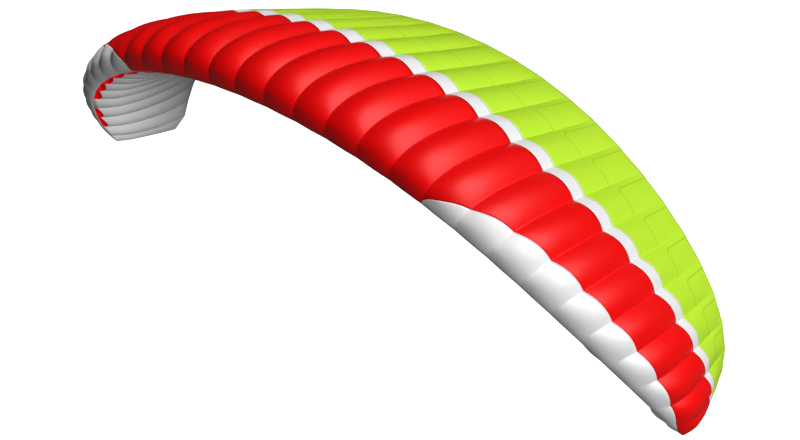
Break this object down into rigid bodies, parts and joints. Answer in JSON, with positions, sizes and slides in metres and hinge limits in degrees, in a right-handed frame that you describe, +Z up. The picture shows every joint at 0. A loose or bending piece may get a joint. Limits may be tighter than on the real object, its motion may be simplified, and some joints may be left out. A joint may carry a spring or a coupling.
{
  "type": "paraglider wing",
  "caption": "Inflated ram-air paraglider canopy: an arched wing of sewn cloth cells, red nose, green rear, white stripe, tips and underside, open intakes",
  "frame": {"origin": "middle of the centre cell's underside, about a third of the chord back from the nose, where the pull of the suspension lines meets the wing", "axes": "+X to the wing's left tip, -Y the way it flies (nose), +Y to the trailing edge, +Z up"},
  "size_m": [9.141, 2.9866, 2.9399],
  "materials": {
    "red_cloth": "satin coated ripstop",
    "green_cloth": "satin coated ripstop",
    "white_cloth": "satin coated ripstop",
    "under_cloth": "satin coated ripstop",
    "rib_cloth": "stiff matt ripstop"
  },
  "bodies": {
    "root": {"rib_01": "red_cloth", "rib_02": "rib_cloth", "rib_03": "rib_cloth", "rib_04": "rib_cloth", "rib_05": "rib_cloth", "rib_06": "rib_cloth", "rib_07": "rib_cloth", "rib_08": "rib_cloth", "rib_09": "rib_cloth", "rib_10": "rib_cloth", "rib_11": "rib_cloth", "rib_12": "rib_cloth", "rib_13": "rib_cloth", "rib_14": "rib_cloth", "rib_15": "rib_cloth", "rib_16": "rib_cloth", "rib_17": "rib_cloth", "rib_18": "rib_cloth", "rib_19": "rib_cloth", "rib_20": "rib_cloth", "rib_21": "rib_cloth", "rib_22": "rib_cloth", "rib_23": "rib_cloth", "rib_24": "rib_cloth", "rib_25": "rib_cloth", "rib_26": "rib_cloth", "rib_27": "rib_cloth", "rib_28": "rib_cloth", "rib_29": "rib_cloth", "rib_30": "rib_cloth", "rib_31": "rib_cloth", "rib_32": "red_cloth", "nose_left": "white_cloth", "nose_right": "white_cloth", "front_left": "red_cloth", "front_inner_left": "red_cloth", "front_middle": "red_cloth", "front_inner_right": "red_cloth", "front_right": "red_cloth", "stripe_left": "white_cloth", "stripe_inner_left": "white_cloth", "stripe_middle": "white_cloth", "stripe_inner_right": "white_cloth", "stripe_right": "white_cloth", "rear_left": "green_cloth", "rear_inner_left": "green_cloth", "rear_middle": "green_cloth", "rear_inner_right": "green_cloth", "rear_right": "green_cloth", "under_inner_left": "under_cloth", "under_middle": "under_cloth", "under_inner_right": "under_cloth", "under_mid_left": "under_cloth", "under_mid_right": "under_cloth", "under_outer_left": "under_cloth", "under_outer_right": "under_cloth", "under_blind_left": "under_cloth", "under_blind_right": "under_cloth", "under_tip_left": "under_cloth", "under_tip_right": "under_cloth"}
  },
  "joints": []
}
